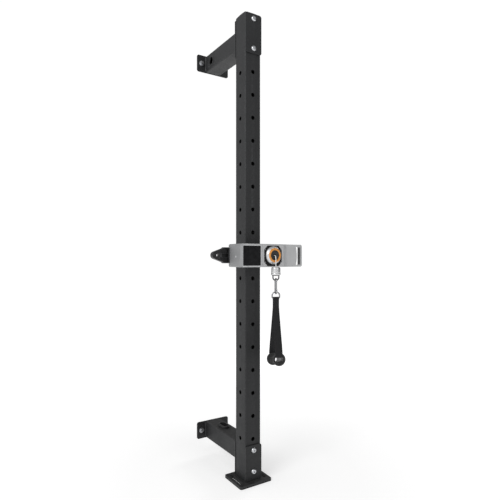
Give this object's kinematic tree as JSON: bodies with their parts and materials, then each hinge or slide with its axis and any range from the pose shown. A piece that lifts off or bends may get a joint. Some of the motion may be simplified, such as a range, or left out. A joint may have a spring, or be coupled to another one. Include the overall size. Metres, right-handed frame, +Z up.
{
  "type": "wall-fixed cable training column",
  "caption": "Black drilled square post on a floor plate with two wall arms, a sliding motorised cable unit with a screen, and a strap handle hung on its cable.",
  "frame": {"origin": "on the floor under the rubber pad, on the axis of the post", "axes": "+X to the right seen from the front, +Y towards the wall, +Z up the post"},
  "size_m": [0.404, 0.5623, 2.048],
  "materials": {
    "black_coat": "fine black powder coat",
    "black_plastic": "moulded, fine grain",
    "pad_rubber": "matt",
    "zinc_steel": "bright zinc plate",
    "liner_plastic": "natural",
    "tongue_black": "moulded, satin",
    "silver_housing": "fine blasted, anodised",
    "screen_glass": "gloss, switched off",
    "button_white": "translucent",
    "bezel_black": "gloss",
    "dark_screws": "blackened",
    "cone_silver": "turned, satin",
    "ring_gold": "anodised, satin",
    "insert_grey": "soft touch",
    "battery_wrap": "shrink wrap",
    "board_green": "solder mask",
    "frame_aluminium": "cast and machined",
    "bearing_steel": "ground",
    "stator_copper": "enamelled copper winding",
    "cable_white": "coated braid",
    "stopper_silver": "turned, satin",
    "bow_steel": "satin",
    "hook_chrome": "polished",
    "webbing_black": "woven webbing",
    "grip_black": "moulded",
    "grip_rubber": "ribbed"
  },
  "bodies": {
    "frame": {"upright": "black_coat", "upright_cap": "black_plastic", "top_front_plate": "black_coat", "top_back_plate": "black_coat", "top_arm": "black_coat", "top_arm_grommet": "black_plastic", "top_wall_plate": "black_coat", "bottom_front_plate": "black_coat", "bottom_back_plate": "black_coat", "bottom_arm": "black_coat", "bottom_arm_grommet": "black_plastic", "bottom_wall_plate": "black_coat", "base_plate": "black_coat", "base_pad": "pad_rubber", "bracket_bolts": "zinc_steel", "bracket_nuts": "zinc_steel", "wall_bolts": "zinc_steel"},
    "carriage": {"carriage_sleeve": "black_coat", "carriage_liners": "liner_plastic", "dock_plate": "black_coat", "dock_screws": "zinc_steel", "dock_tongue": "tongue_black", "pin_housing": "black_coat", "screen_housing": "silver_housing", "main_housing": "silver_housing", "left_cover": "silver_housing", "back_cover": "black_plastic", "cover_screws": "zinc_steel", "screen": "screen_glass", "nose_bezel": "bezel_black", "bezel_screws": "dark_screws", "nose_cone": "cone_silver", "nose_ring": "ring_gold", "fairlead": "black_plastic", "handle_insert": "insert_grey", "battery_pack": "battery_wrap", "circuit_board": "board_green", "drum_frame": "frame_aluminium", "drum_bearings": "bearing_steel", "motor_stator": "stator_copper", "cable_lead": "cable_white"},
    "lock_pin": {"lock_pin": "zinc_steel", "lock_knob": "black_plastic"},
    "power_button": {"power_button": "button_white"},
    "drum": {"cable_drum": "frame_aluminium", "drum_shaft": "zinc_steel", "cable_wraps": "cable_white"},
    "cable_end": {"cable": "cable_white", "cable_stopper": "stopper_silver"},
    "swivel": {"swivel_bow": "bow_steel"},
    "hook": {"carabiner": "hook_chrome", "gate_pin": "hook_chrome"},
    "hook_gate": {"carabiner_gate": "hook_chrome"},
    "handle": {"d_ring": "hook_chrome", "handle_strap": "webbing_black", "grip_core": "grip_black", "grip_discs": "grip_black"},
    "grip": {"grip_sleeve": "grip_rubber"}
  },
  "joints": [
    {"name": "carriage_slide", "type": "slide", "parent": "frame", "child": "carriage", "axis": [0, 0, 1], "range_m": [-0.4, 0.8]},
    {"name": "lock_pin_slide", "type": "slide", "parent": "carriage", "child": "lock_pin", "axis": [-1, 0, 0], "range_m": [0, 0.02]},
    {"name": "power_press", "type": "slide", "parent": "carriage", "child": "power_button", "axis": [1, 0, 0], "range_m": [0, 0.0015], "stiffness_N_per_m": 400},
    {"name": "cable_pull", "type": "slide", "parent": "carriage", "child": "cable_end", "axis": [0, 0, -1], "range_m": [0, 0.45], "deforming": ["cable"]},
    {"name": "drum_spin", "type": "hinge", "parent": "carriage", "child": "drum", "pos_m": [0.074, -0.095, 0.99], "axis": [0, 0, 1], "range_deg": [0, 680]},
    {"name": "swivel_turn", "type": "hinge", "parent": "cable_end", "child": "swivel", "pos_m": [0.036, -0.16, 0.9], "axis": [0, 0, 1], "continuous": true},
    {"name": "hook_swing", "type": "hinge", "parent": "swivel", "child": "hook", "pos_m": [0.036, -0.16, 0.885], "axis": [0.9171, -0.3987, 0], "range_deg": [-60, 60]},
    {"name": "gate_open", "type": "hinge", "parent": "hook", "child": "hook_gate", "pos_m": [0.03121, -0.171, 0.845], "axis": [-0.9171, 0.3987, 0], "range_deg": [0, 25], "stiffness_Nm_per_rad": 0.05},
    {"name": "handle_swing", "type": "hinge", "parent": "hook", "child": "handle", "pos_m": [0.036, -0.16, 0.8298], "axis": [0.3987, 0.9171, 0], "range_deg": [-60, 60]},
    {"name": "grip_roll", "type": "hinge", "parent": "handle", "child": "grip", "pos_m": [0.036, -0.16, 0.556], "axis": [0.3914, 0.9002, -0.1908], "continuous": true}
  ],
  "couplings": [
    {"joint": "drum_spin", "follows": "cable_pull", "rad_per_m": 26.316}
  ]
}
